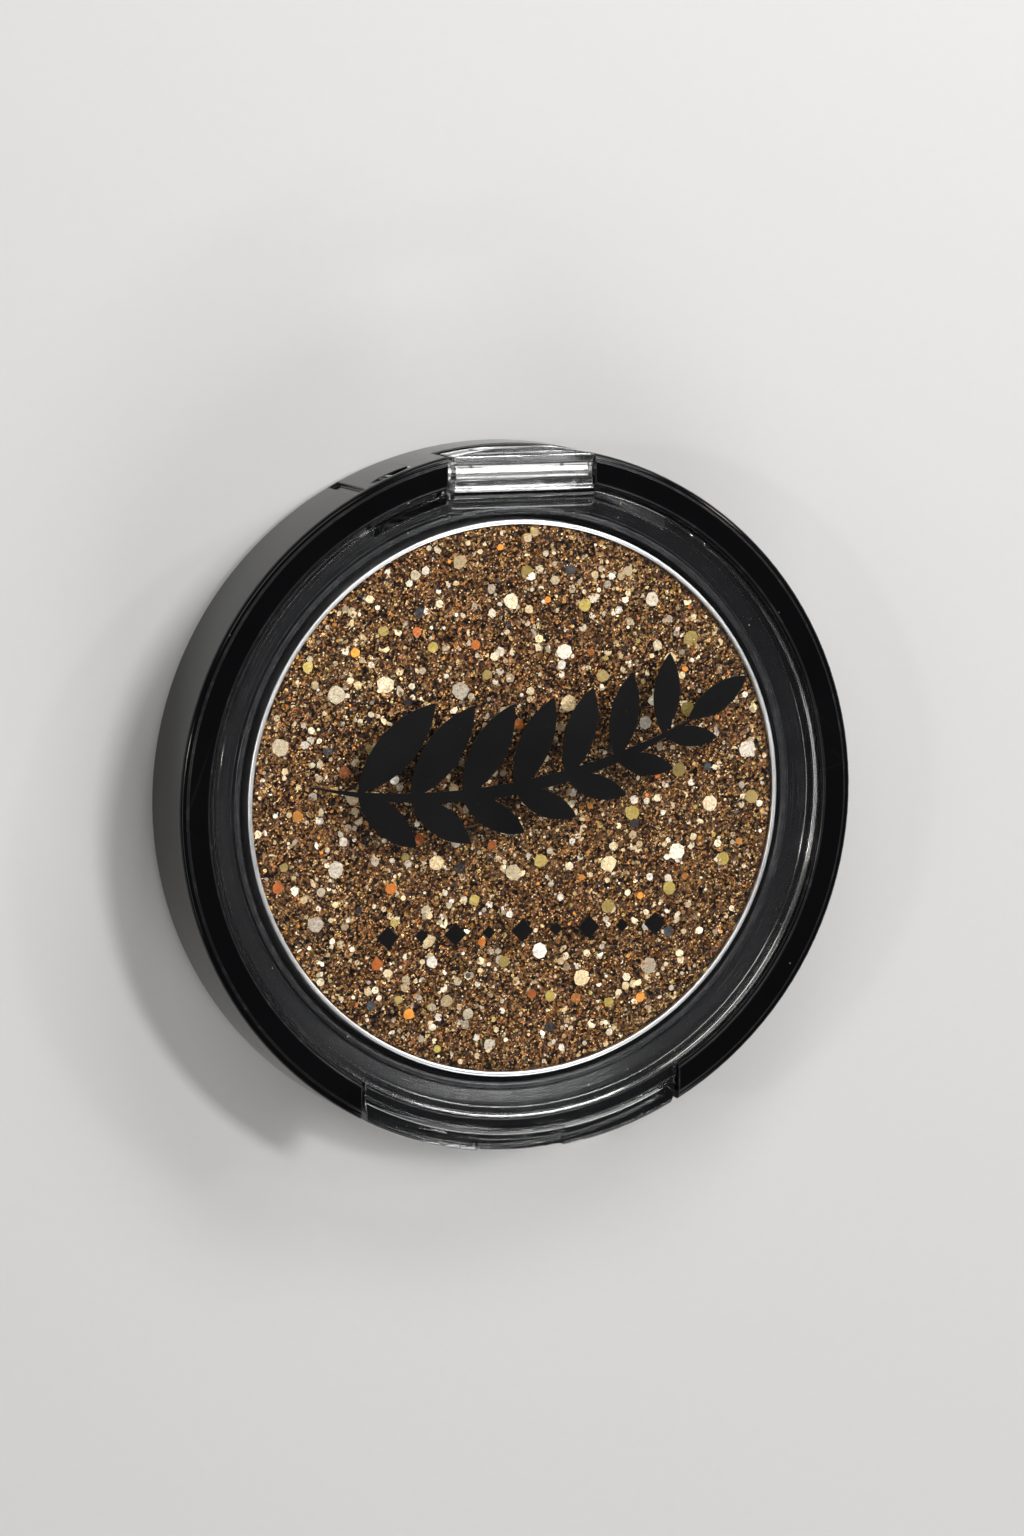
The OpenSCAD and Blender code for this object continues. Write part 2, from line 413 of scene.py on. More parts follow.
class MouldedGrain(SharedEffect):
    """The fine even texture that a spark-eroded mould leaves."""

    name = "moulded_grain"
    inputs = {"Vector": None, "Size": 6e-5}
    outputs = ("Height", "Tone")

    def fill(self, w: Wiring, given: Outputs) -> dict[str, Socket]:
        """Adds the grain's height and its slow change of tone.

        Args:
            w: The group's tree.
            given: The group's inputs, by name.

        Returns:
            What each output puts out.
        """
        place = given["Vector"]
        closeness = w.maths("DIVIDE", 1.0, given["Size"])
        inputs = {"Vector": place, "Scale": closeness, "Smoothness": 0.6}
        cells = w.add("TexVoronoi", inputs, feature="SMOOTH_F1")
        soft = w.maths("MULTIPLY", w.noise(place, scale=2600.0, detail=4.0, rough=0.6), 0.6)
        height = w.maths("ADD", cells.outputs["Distance"], soft)
        return {"Height": height, "Tone": w.noise(place, scale=140.0)}


class TurnedLines(SharedEffect):
    """Fine circles about the Z axis, as spinning and drawing tools leave."""

    name = "turned_lines"
    inputs = {"Vector": None, "Fineness": 9000.0}
    outputs = ("Height", "Mask")

    def fill(self, w: Wiring, given: Outputs) -> dict[str, Socket]:
        """Adds noise that changes only with the radius and the height.

        Args:
            w: The group's tree.
            given: The group's inputs, by name.

        Returns:
            What each output puts out.
        """
        parts = w.add("SeparateXYZ", {"Vector": given["Vector"]}).outputs
        flat = w.add("CombineXYZ", {"X": parts["X"], "Y": parts["Y"]}).outputs["Vector"]
        radius = w.add("VectorMath", {0: flat}, operation="LENGTH").outputs["Value"]
        across = w.maths("MULTIPLY", radius, given["Fineness"])
        down = w.maths("MULTIPLY", parts["Z"], given["Fineness"])
        place = w.add("CombineXYZ", {"X": across, "Y": down}).outputs["Vector"]
        lines = w.noise(place, scale=1.0, rough=0.7)
        return {"Height": lines, "Mask": w.span(lines, 0.35, 0.65)}


# ---------------------------------------------------------------------------
# Finishes
# ---------------------------------------------------------------------------


class Finish:
    """A surface finish that makes its material once.

    Attributes:
        name: The material's name.
    """

    name: str

    def material(self) -> bpy.types.Material:
        """Finds the finish's material, or makes it on first use.

        Returns:
            The material.
        """
        found = bpy.data.materials.get(self.name)
        if found:
            return found
        made = bpy.data.materials.new(self.name)
        made.use_nodes = True
        made.node_tree.nodes.clear()
        wiring = Wiring(made.node_tree)
        wiring.add("OutputMaterial", {"Surface": self.shader(wiring)})
        return made

    def shader(self, w: Wiring) -> Socket:
        """Adds the finish's nodes.

        Args:
            w: The material's tree.

        Returns:
            The shader socket.
        """
        raise NotImplementedError

    @staticmethod
    def principled(w: Wiring, **values: object) -> Socket:
        """A Principled shader with inputs set or fed by name."""
        inputs = {name.replace("_", " "): value for name, value in values.items()}
        return w.add("BsdfPrincipled", inputs).outputs["BSDF"]

    @staticmethod
    def edge_highlight_and_wear(w: Wiring, place: Socket, steady: float) -> Socket:
        """The piece's rounded edges: a steady share on every one, which the black finishes use as a
        painted highlight, with rubbed wear in broken stretches over it.

        Args:
            w: The material's tree.
            place: Coordinates.
            steady: The least share that any rounded edge gets.

        Returns:
            How strongly each rounded edge is marked, for painted highlight and wear.
        """
        mask = w.add("Attribute", attribute_type="GEOMETRY", attribute_name=EDGE_MASK)
        return w.effect(HighlightedRubbedEdge(), Vector=place, Mask=mask.outputs["Fac"], Steady=steady)["HighlightAndWear"]


@dataclass(frozen=True)
class GlossBlack(Finish):
    """Polished black ABS: deep gloss, faint smudges, hairline scratches and a few specks.

    Attributes:
        name: The material's name.
        colour: The pigment.
        highlight_and_wear_colour: Colour laid over the rounded edges: a painted highlight on all of
            them, stronger where they are rubbed.
        lint: Colour of a speck of dust.
        gloss: Roughness of the clean polish.
    """

    name: str = "gloss_black_abs"
    colour: Colour = (0.0016, 0.0016, 0.0019)
    highlight_and_wear_colour: Colour = (0.05, 0.05, 0.053)
    lint: Colour = (0.3, 0.29, 0.27)
    gloss: float = 0.09

    def shader(self, w: Wiring) -> Socket:
        """Adds the finish's nodes.

        Args:
            w: The material's tree.

        Returns:
            The shader socket.
        """
        place = w.coordinates()
        marks = w.effect(HandlingMarks(), Vector=place)
        highlight_and_wear = self.edge_highlight_and_wear(w, place, steady=0.5)
        tone = w.blend(w.noise(place, scale=160.0, detail=2.0), self.colour, shade(self.colour, 1.9))
        tone = w.over(tone, marks["Dust"], 0.25, self.lint)
        # Painted highlight: every rounded edge is lightened towards the edge colour, more in its rubbed
        # stretches.
        tone = w.over(tone, highlight_and_wear, 0.5, self.highlight_and_wear_colour)
        rough = w.layered(self.gloss, (marks["Smudge"], 0.09), (highlight_and_wear, 0.16))
        rough = w.layered(rough, (marks["Scratches"], 0.12), (marks["Dust"], 0.4))
        swirl = w.bump(w.noise(place, scale=420.0, detail=2.0), distance=4e-6, strength=0.35)
        normal = w.bump(marks["Scratches"], distance=-2e-6, strength=0.5, normal=swirl)
        return self.principled(
            w, Base_Color=tone, Roughness=rough, IOR=1.53, Specular_IOR_Level=0.24, Normal=normal
        )


@dataclass(frozen=True)
class SatinBlack(Finish):
    """Satin black ABS with a moulded grain and faint rubbed circles around the pan.

    Attributes:
        name: The material's name.
        colour: The pigment.
        highlight_and_wear_colour: Colour laid over the rounded edges: a painted highlight on all of
            them, stronger where they are rubbed.
        fallout: Colour of the specks of powder on it.
        satin: Roughness of the plain surface.
    """

    name: str = "satin_black_abs"
    colour: Colour = (0.004, 0.004, 0.0045)
    highlight_and_wear_colour: Colour = (0.06, 0.06, 0.063)
    fallout: Colour = (0.5, 0.38, 0.2)
    satin: float = 0.18

    def shader(self, w: Wiring) -> Socket:
        """Adds the finish's nodes.

        Args:
            w: The material's tree.

        Returns:
            The shader socket.
        """
        place = w.coordinates()
        grain = w.effect(MouldedGrain(), Vector=place, Size=9e-5)
        rings = w.effect(TurnedLines(), Vector=place, Fineness=5200.0)
        marks = w.effect(HandlingMarks(), Vector=place, Scale=1.3)
        tone = w.blend(grain["Tone"], self.colour, shade(self.colour, 1.7))
        tone = w.over(tone, marks["Dust"], 0.6, self.fallout)
        # Painted highlight: every rounded edge is lightened towards the edge colour, more in its rubbed
        # stretches.
        tone = w.over(tone, self.edge_highlight_and_wear(w, place, steady=0.4), 0.5, self.highlight_and_wear_colour)
        rough = w.layered(self.satin, (rings["Mask"], 0.07), (marks["Smudge"], 0.08))
        normal = w.bump(grain["Height"], distance=7e-6, strength=0.35)
        normal = w.bump(rings["Height"], distance=3e-6, strength=0.4, normal=normal)
        return self.principled(
            w, Base_Color=tone, Roughness=rough, IOR=1.52, Specular_IOR_Level=0.34, Normal=normal
        )


@dataclass(frozen=True)
class ClearAcrylic(Finish):
    """Crystal clear acrylic with flow lines in its knuckle and hairlines on its face.

    Attributes:
        name: The material's name.
        tint: Colour of the light that comes through.
        lamps_through: Share of lamp light that the wall lets through.
        polish: Roughness of the clean face.
        knuckle_y: Where the knuckle's flow lines begin.
        knuckle_x: Half the knuckle's width, past which there are no flow lines.
        flow: Closeness of the flow lines along each axis.
    """

    name: str = "clear_acrylic"
    tint: Colour = (0.985, 0.992, 0.99)
    lamps_through: Colour = (0.93, 0.935, 0.935)
    polish: float = 0.012
    knuckle_y: float = 0.0242
    knuckle_x: float = 6.3 * MM
    flow: Colour = (22.0, 1500.0, 1000.0)

    def flow_lines(self, w: Wiring, place: Socket) -> Socket:
        """The streaks that cooling acrylic leaves in the thick knuckle.

        Args:
            w: The material's tree.
            place: Coordinates.

        Returns:
            Where the streaks lie.
        """
        parts = w.add("SeparateXYZ", {"Vector": place}).outputs
        back = w.span(parts["Y"], self.knuckle_y, self.knuckle_y + 0.3 * MM)
        aside = w.maths("ABSOLUTE", parts["X"])
        inside = w.span(aside, self.knuckle_x, self.knuckle_x + 0.2 * MM, 1.0, 0.0)
        lines = w.noise(w.stretch(place, self.flow), scale=1.0)
        return w.maths("MULTIPLY", w.maths("MULTIPLY", lines, back), inside)

    def shader(self, w: Wiring) -> Socket:
        """Adds the finish's nodes.

        Args:
            w: The material's tree.

        Returns:
            The shader socket.
        """
        place = w.coordinates()
        marks = w.effect(HandlingMarks(), Vector=place, Scale=0.8, Amount=0.6)
        flow = self.flow_lines(w, place)
        highlight_and_wear = self.edge_highlight_and_wear(w, place, steady=0.8)
        rough = w.layered(
            self.polish, (marks["Scratches"], 0.05), (flow, 0.16), (highlight_and_wear, 0.08), (marks["Dust"], 0.5)
        )
        normal = w.bump(flow, distance=1.0e-4, strength=0.85)
        normal = w.bump(marks["Scratches"], distance=-1e-6, strength=0.3, normal=normal)
        glass = self.principled(
            w, Base_Color=(*self.tint, 1.0), Roughness=rough, IOR=1.49,
            Transmission_Weight=1.0, Normal=normal,
        )
        clear = w.add("BsdfTransparent", {"Color": (*self.lamps_through, 1.0)}).outputs["BSDF"]
        shadow = w.add("LightPath").outputs["Is Shadow Ray"]
        return w.add("MixShader", {"Fac": shadow, 1: glass, 2: clear}).outputs["Shader"]


@dataclass(frozen=True)
class SpunMetal(Finish):
    """Bare metal with tool circles, dull patches and fine scratches.

    Attributes:
        name: The material's name.
        colour: The clean metal.
        dull: Its oxidised patches.
        smooth: Roughness of the clean metal.
        fineness: How close the tool lines lie.
    """

    name: str
    colour: Colour
    dull: Colour
    smooth: float
    fineness: float = 9000.0

    def shader(self, w: Wiring) -> Socket:
        """Adds the finish's nodes.

        Args:
            w: The material's tree.

        Returns:
            The shader socket.
        """
        place = w.coordinates()
        lines = w.effect(TurnedLines(), Vector=place, Fineness=self.fineness)
        marks = w.effect(HandlingMarks(), Vector=place, Scale=1.6)
        tone = w.blend(marks["Smudge"], self.colour, self.dull)
        tone = w.over(tone, lines["Mask"], 0.25, self.dull)
        rough = w.layered(self.smooth, (lines["Mask"], 0.08), (marks["Smudge"], 0.1))
        normal = w.bump(lines["Height"], distance=6e-6, strength=0.5)
        normal = w.bump(marks["Scratches"], distance=-3e-6, strength=0.5, normal=normal)
        return self.principled(w, Base_Color=tone, Metallic=1.0, Roughness=rough, Normal=normal)


@dataclass(frozen=True)
class PrintInk(Finish):
    """Screen-printed black ink: slightly mottled, with specks of dust.

    Attributes:
        name: The material's name.
        colour: The ink.
        lint: Colour of a speck of dust.
        matt: Roughness of the smoothest ink.
    """

    name: str = "black_print_ink"
    colour: Colour = (0.0014, 0.0014, 0.0016)
    lint: Colour = (0.2, 0.2, 0.2)
    matt: float = 0.3

    def shader(self, w: Wiring) -> Socket:
        """Adds the finish's nodes.

        Args:
            w: The material's tree.

        Returns:
            The shader socket.
        """
        place = w.coordinates()
        grain = w.effect(MouldedGrain(), Vector=place, Size=1.2e-4)
        marks = w.effect(HandlingMarks(), Vector=place, Scale=2.0)
        tone = w.blend(grain["Tone"], self.colour, shade(self.colour, 2.2))
        tone = w.over(tone, marks["Dust"], 0.15, self.lint)
        rough = w.layered(self.matt, (grain["Tone"], 0.14))
        normal = w.bump(grain["Height"], distance=5e-6, strength=0.4)
        return self.principled(
            w, Base_Color=tone, Roughness=rough, Specular_IOR_Level=0.25, Normal=normal
        )


@dataclass(frozen=True)
class StickerPaper(Finish):
    """Coated white label paper with fibres and a slightly handled tone.

    Attributes:
        name: The material's name.
        colour: The clean paper.
        handled: Colour of its handled patches.
        matt: Roughness of the smoothest paper.
    """

    name: str = "sticker_paper"
    colour: Colour = (0.78, 0.77, 0.74)
    handled: Colour = (0.66, 0.63, 0.58)
    matt: float = 0.5

    def shader(self, w: Wiring) -> Socket:
        """Adds the finish's nodes.

        Args:
            w: The material's tree.

        Returns:
            The shader socket.
        """
        place = w.coordinates()
        marks = w.effect(HandlingMarks(), Vector=place)
        fibre = w.noise(w.stretch(place, (1.0, 0.25, 1.0)), scale=5200.0, detail=4.0, rough=0.65)
        tone = w.blend(fibre, shade(self.colour, 0.9), self.colour)
        tone = w.over(tone, marks["Smudge"], 0.35, self.handled)
        rough = w.layered(self.matt, (fibre, 0.2))
        normal = w.bump(fibre, distance=1.5e-5, strength=0.5)
        return self.principled(w, Base_Color=tone, Roughness=rough, Normal=normal)


@dataclass(frozen=True)
class DriedGlue(Finish):
    """A film of dried pan glue, uneven and a little yellow.

    Attributes:
        name: The material's name.
        thin: Colour where it is thin.
        thick: Colour where it is thick.
    """

    name: str = "dried_glue"
    thin: Colour = (0.74, 0.7, 0.56)
    thick: Colour = (0.9, 0.88, 0.78)

    def shader(self, w: Wiring) -> Socket:
        """Adds the finish's nodes.

        Args:
            w: The material's tree.

        Returns:
            The shader socket.
        """
        patches = w.noise(w.coordinates(), scale=500.0, detail=4.0)
        tone = w.blend(patches, self.thin, self.thick)
        rough = w.span(patches, 0.3, 0.7, 0.25, 0.5)
        normal = w.bump(patches, distance=8e-5, strength=0.7)
        return self.principled(w, Base_Color=tone, Roughness=rough, Normal=normal)


@dataclass(frozen=True)
class PressedGlitter(Finish):
    """The pressed bed: close-packed metal-coated grains, each with its own tone and tilt.

    Attributes:
        name: The material's name.
        grain: Width of a fine grain.
        coarse: Width of a coarser grain.
        rare: Share of the bed that has no coarser grain.
        tilt: How far grains lean, as a share of the normal.
        tones: Colours of the grains, from the dark many to the bright few.
        gap: Colour between the grains.
        rust: What the redder patches are multiplied by.
    """

    name: str = "pressed_glitter_bed"
    grain: float = 0.14 * MM
    coarse: float = 0.3 * MM
    rare: float = 0.72
    tilt: float = 0.95
    tones: tuple[tuple[float, Colour], ...] = (
        (0.0, (0.003, 0.0015, 0.0005)),
        (0.35, (0.026, 0.0095, 0.0024)),
        (0.6, (0.1, 0.041, 0.01)),
        (0.8, (0.25, 0.115, 0.028)),
        (0.93, (0.5, 0.27, 0.07)),
        (0.98, (1.0, 0.8, 0.44)),
    )
    gap: Colour = (0.008, 0.004, 0.002)
    rust: Colour = (1.0, 0.62, 0.36)

    def cells(self, w: Wiring, place: Socket, width: float) -> tuple[Socket, Outputs, Socket]:
        """One layer of grains.

        Args:
            w: The tree.
            place: Coordinates.
            width: Width of a grain.

        Returns:
            Its random colour, that colour's three parts, and the distance to its edge.
        """
        inputs = {"Vector": place, "Scale": 1.0 / width}
        grains = w.add("TexVoronoi", inputs, feature="F1", voronoi_dimensions="2D")
        edges = w.add("TexVoronoi", inputs, feature="DISTANCE_TO_EDGE", voronoi_dimensions="2D")
        random = grains.outputs["Color"]
        return random, w.add("SeparateColor", {"Color": random}).outputs, edges.outputs["Distance"]

    def leaning(self, w: Wiring, random: Socket) -> Socket:
        """The normal of grains that each lean their own way.

        Args:
            w: The tree.
            random: A random colour for each grain.

        Returns:
            The normal.
        """
        middle = (0.5, 0.5, 0.5)
        lean = w.add("VectorMath", {0: random, 1: middle}, operation="SUBTRACT").outputs["Vector"]
        lean = w.stretch(lean, (self.tilt, self.tilt, 0.0))
        normal = w.add("NewGeometry").outputs["Normal"]
        total = w.add("VectorMath", {0: normal, 1: lean}, operation="ADD").outputs["Vector"]
        return w.add("VectorMath", {0: total}, operation="NORMALIZE").outputs["Vector"]

    def shader(self, w: Wiring) -> Socket:
        """Adds the finish's nodes.

        Args:
            w: The material's tree.

        Returns:
            The shader socket.
        """
        place = w.coordinates()
        fine, fine_parts, fine_edge = self.cells(w, place, self.grain)
        wide, wide_parts, wide_edge = self.cells(w, place, self.coarse)
        pick = w.maths("GREATER_THAN", wide_parts["Blue"], self.rare)
        fine_tone = w.ramp(fine_parts["Red"], self.tones)
        tone = w.blend(pick, fine_tone, w.ramp(wide_parts["Red"], self.tones))
        whole = w.maths("MINIMUM", w.span(fine_edge, 0.0, 0.09), w.span(wide_edge, 0.0, 0.05))
        tone = w.blend(whole, self.gap, tone)
        patches = w.span(w.noise(place, scale=130.0), 0.35, 0.7, 0.0, 0.35)
        tone = w.blend(patches, tone, self.rust, "MULTIPLY")
        rough = w.span(fine_parts["Green"], 0.0, 1.0, 0.16, 0.42)
        metal = w.span(whole, 0.0, 1.0, 0.2, 0.88)
        normal = self.leaning(w, w.blend(pick, fine, wide))
        return self.principled(w, Base_Color=tone, Metallic=metal, Roughness=rough, Normal=normal)


@dataclass(frozen=True)
class FlakeFilm(Finish):
    """Glitter film: metal-coated, tinted flake by flake, crinkled and a little see-through.

    Attributes:
        name: The material's name.
        shine: Roughness of the flattest film.
        metal: How metallic the coating is.
        mottle: How much of the brown bed shows through in patches.
        bed: Colour of the bed that shows through.
        crumple: Roughness that the crinkles add.
    """

    name: str
    shine: float
    metal: float
    mottle: float
    bed: Colour = (0.24, 0.12, 0.05)
    crumple: float = 0.22

    def shader(self, w: Wiring) -> Socket:
        """Adds the finish's nodes.

        Args:
            w: The material's tree.

        Returns:
            The shader socket.
        """
        place = w.coordinates()
        tint = w.add("Attribute", attribute_type="GEOMETRY", attribute_name=TINT).outputs["Color"]
        crinkle = w.noise(place, scale=4200.0, detail=4.0, rough=0.65)
        patches = w.noise(place, scale=5200.0, rough=0.7)
        tone = w.blend(w.span(patches, 0.36, 0.66, 0.0, self.mottle), tint, self.bed)
        rough = w.span(crinkle, 0.3, 0.75, self.shine, self.shine + self.crumple)
        normal = w.bump(crinkle, distance=9e-5)
        return self.principled(w, Base_Color=tone, Metallic=self.metal, Roughness=rough, Normal=normal)


@dataclass(frozen=True)
class StudioFloor(Finish):
    """Plain pale tabletop with the faintest tooth.

    Attributes:
        name: The material's name.
        colour: The paint.
        matt: Its roughness.
    """

    name: str = "studio_floor"
    colour: Colour = (0.66, 0.655, 0.65)
    matt: float = 0.6

    def shader(self, w: Wiring) -> Socket:
        """Adds the finish's nodes.

        Args:
            w: The material's tree.

        Returns:
            The shader socket.
        """
        tooth = w.noise(w.coordinates(), scale=900.0, detail=4.0)
        tone = w.blend(tooth, shade(self.colour, 0.97), self.colour)
        normal = w.bump(tooth, distance=2e-5, strength=0.3)
        return self.principled(w, Base_Color=tone, Roughness=self.matt, Normal=normal)


# ---------------------------------------------------------------------------
# Meshes
# ---------------------------------------------------------------------------


def new_piece(name: str, mesh: bpy.types.Mesh, finish: Finish, smooth: bool = True) -> bpy.types.Object:
    """Puts a mesh in the scene with its finish.

    Args:
        name: The piece's name.
        mesh: Its mesh, in the frame's axes.
        finish: The finish it is given.
        smooth: Whether its faces are shaded smooth.

    Returns:
        The new object.
    """
    piece = bpy.data.objects.new(name, mesh)
    bpy.context.scene.collection.objects.link(piece)
    mesh.materials.clear()
    mesh.materials.append(finish.material())
    mesh.polygons.foreach_set("use_smooth", [smooth] * len(mesh.polygons))
    return piece


def take_over(piece: bpy.types.Object, body: Body, slot: str, *nodes: str) -> None:
    """Ties a piece to the frame.

    Args:
        piece: The piece.
        body: The body it moves with.
        slot: A material slot name; not used.
        nodes: The frame nodes that it stands for, if any.
    """
    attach(piece, body.value)
    if nodes:
        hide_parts(*nodes)
    log.info("%s: %d faces, on %s", piece.name, len(piece.data.polygons), body.value)


@dataclass(frozen=True)
class EdgeBreak:
    """How the sharp edges of a moulding are rounded.

    Attributes:
        width: Width of the rounding.
        segments: Steps across it.
        sharper_than: Edges that turn by more than this many degrees are rounded.
        flatter_than: Faces that turn by less than this many degrees become one.
        weld: Corners closer than this are joined first.
        stray: A corner further off the old skin than this share of the width goes back on it.
        fullness: Shape of the rounding, 0.5 for a round one.
        flat_weight: How strongly large flat faces hold the shading, from 1 to 100.
    """

    width: float
    segments: int = 3
    sharper_than: float = 24.0
    flatter_than: float = 0.3
    weld: float = 0.03 * MM
    stray: float = 0.75
    fullness: float = 0.6
    flat_weight: int = 60

    def rounded(self, source: bpy.types.Mesh, name: str) -> bpy.types.Mesh:
        """Makes a rounded copy of a mesh, with its rounded faces marked.

        Args:
            source: The mesh, which is left as it is.
            name: The new mesh's name.

        Returns:
            The new mesh.
        """
        work = bmesh.new()
        work.from_mesh(source)
        mask = work.faces.layers.float.new(EDGE_MASK)
        bmesh.ops.remove_doubles(work, verts=work.verts, dist=self.weld)
        flat = math.radians(self.flatter_than)
        bmesh.ops.dissolve_limit(work, angle_limit=flat, verts=work.verts, edges=work.edges)
        skin = BVHTree.FromBMesh(work)
        limit = math.radians(self.sharper_than)
        sharp = [e for e in work.edges if e.is_manifold and e.calc_face_angle(0.0) > limit]
        bevelled = bmesh.ops.bevel(
            work,
            geom=sharp,
            offset=self.width,
            offset_type="OFFSET",
            segments=self.segments,
            profile=self.fullness,
            affect="EDGES",
            clamp_overlap=False,
            miter_outer="ARC",
        )
        for face in bevelled["faces"]:
            face[mask] = 1.0
        for vert in work.verts:
            nearest, _normal, _face, away = skin.find_nearest(vert.co)
            if away > self.width * self.stray:
                vert.co = nearest
        bmesh.ops.dissolve_degenerate(work, dist=1e-7, edges=work.edges)
        bmesh.ops.recalc_face_normals(work, faces=work.faces)
        mesh = bpy.data.meshes.new(name)
        work.to_mesh(mesh)
        work.free()
        return mesh

    def apply(self, source: bpy.types.Object, name: str, finish: Finish) -> bpy.types.Object:
        """Makes a rounded piece from a frame node.

        Args:
            source: The frame node, which is left as it is.
            name: The new piece's name.
            finish: The finish it is given.

        Returns:
            The new piece.
        """
        piece = new_piece(name, self.rounded(source.data, name), finish)
        piece.modifiers.new("flat_faces_stay_flat", "WEIGHTED_NORMAL").weight = self.flat_weight
        return piece


@dataclass
class SubAssembly:
    """A part of the compact that is built from the frame's nodes.

    Attributes:
        nodes: The frame's nodes by name.
    """

    nodes: dict[str, bpy.types.Object]

    def build(self) -> None:
        """Builds every piece of it."""
        raise NotImplementedError


@dataclass
class Case(SubAssembly):
    """The black case with its rim, ears and foot, and the sticker under it.

    Attributes:
        nodes: The frame's nodes by name.
        edges: How the shell's mould edges are rounded.
        cut: How the sticker's cut edge is rounded.
        gloss: The shell's finish.
        paper: The sticker's finish.
    """

    edges: EdgeBreak = EdgeBreak(0.11 * MM)
    cut: EdgeBreak = EdgeBreak(0.02 * MM, 2)
    gloss: Finish = GlossBlack()
    paper: Finish = StickerPaper()

    def build(self) -> None:
        """Builds the shell and the sticker."""
        shell = self.edges.apply(self.nodes["base_shell"], "case_shell", self.gloss)
        take_over(shell, Body.CASE, "case_gloss_black", "base_shell")
        sticker = self.cut.apply(self.nodes["base_label"], "foot_sticker", self.paper)
        take_over(sticker, Body.CASE, "label_paper", "base_label")


@dataclass
class Tray(SubAssembly):
    """The satin inner tray with its dished deck, and the dried glue in its well.

    Attributes:
        nodes: The frame's nodes by name.
        edges: How the tray's mould edges are rounded.
        bead: How the glue's edge is rounded.
        satin: The tray's finish.
        glue: The glue's finish.
    """

    edges: EdgeBreak = EdgeBreak(0.06 * MM)
    bead: EdgeBreak = EdgeBreak(0.03 * MM, 2)
    satin: Finish = SatinBlack()
    glue: Finish = DriedGlue()

    def build(self) -> None:
        """Builds the tray and the glue."""
        tray = self.edges.apply(self.nodes["inner_tray"], "satin_tray", self.satin)
        take_over(tray, Body.CASE, "tray_satin_black", "inner_tray")
        glue = self.bead.apply(self.nodes["pan_adhesive"], "glue_disc", self.glue)
        take_over(glue, Body.CASE, "glue_film", "pan_adhesive")


@dataclass
class Pan(SubAssembly):
    """The aluminium pan.

    Attributes:
        nodes: The frame's nodes by name.
        roll: How its drawn edge is rounded.
        metal: Its finish.
    """

    roll: EdgeBreak = EdgeBreak(0.07 * MM)
    metal: Finish = SpunMetal("spun_aluminium", (0.95, 0.95, 0.96), (0.78, 0.78, 0.8), 0.27)

    def build(self) -> None:
        """Builds the pan with a softly rolled edge."""
        pan = self.roll.apply(self.nodes["pan"], "aluminium_pan", self.metal)
        take_over(pan, Body.CASE, "pan_aluminium", "pan")


@dataclass(frozen=True)
class Film:
    """One film of glitter and how much of it lies in the pan.

    Attributes:
        kind: Which film it is.
        slot: The material slot of its flakes.
        shine: Roughness of the flattest film.
        metal: How metallic its coating is.
        mottle: How much of the bed shows through it in patches.
        tints: The colours that single flakes vary between.
        share: Its fine flakes, as a share of the powder's fine count.
        widths: Its narrowest and widest fine flake in millimetres.
        lean: Typical tilt of a fine flake in degrees.
        node: The frame node of its large flakes, if it has any.
    """

    kind: FlakeKind
    slot: str
    shine: float
    metal: float
    mottle: float
    tints: tuple[Colour, ...]
    share: float
    widths: tuple[float, float]
    lean: float
    node: str | None = None

    def finish(self) -> FlakeFilm:
        """The finish of its flakes."""
        return FlakeFilm(f"{self.kind.value}_film", self.shine, self.metal, self.mottle)


CHAMPAGNE_TINTS = ((0.96, 0.84, 0.58), (0.86, 0.67, 0.38), (1.0, 0.95, 0.84))
GOLD_TINTS = ((0.7, 0.44, 0.16), (0.5, 0.28, 0.09), (0.9, 0.66, 0.3))
BRONZE_TINTS = ((0.19, 0.07, 0.018), (0.09, 0.032, 0.008), (0.32, 0.14, 0.042))
COPPER_TINTS = ((0.72, 0.2, 0.012), (0.5, 0.11, 0.008), (0.85, 0.32, 0.035))
OLIVE_TINTS = ((0.5, 0.4, 0.06), (0.62, 0.5, 0.13), (0.36, 0.3, 0.04))
BLACK_TINTS = ((0.012, 0.016, 0.022), (0.04, 0.05, 0.06), (0.008, 0.01, 0.014))

FILMS = (
    Film(
        FlakeKind.CHAMPAGNE, "flake_champagne", 0.22, 0.4, 0.62, CHAMPAGNE_TINTS,
        share=0.85, widths=(0.12, 0.95), lean=12.0, node="champagne_flakes",
    ),
    Film(
        FlakeKind.GOLD, "pressed_glitter", 0.18, 0.88, 0.3, GOLD_TINTS,
        share=1.1, widths=(0.16, 0.42), lean=18.0,
    ),
    Film(
        FlakeKind.BRONZE, "pressed_glitter", 0.26, 0.85, 0.3, BRONZE_TINTS,
        share=1.9, widths=(0.16, 0.42), lean=18.0,
    ),
    Film(
        FlakeKind.COPPER, "flake_copper", 0.25, 0.5, 0.35, COPPER_TINTS,
        share=0.16, widths=(0.18, 0.42), lean=18.0, node="copper_flakes",
    ),
    Film(
        FlakeKind.OLIVE, "flake_olive", 0.3, 0.3, 0.75, OLIVE_TINTS,
        share=0.05, widths=(0.25, 0.6), lean=14.0, node="olive_flakes",
    ),
    Film(
        FlakeKind.BLACK, "flake_black", 0.25, 0.4, 0.1, BLACK_TINTS,
        share=0.08, widths=(0.2, 0.5), lean=14.0, node="black_flakes",
    ),
)


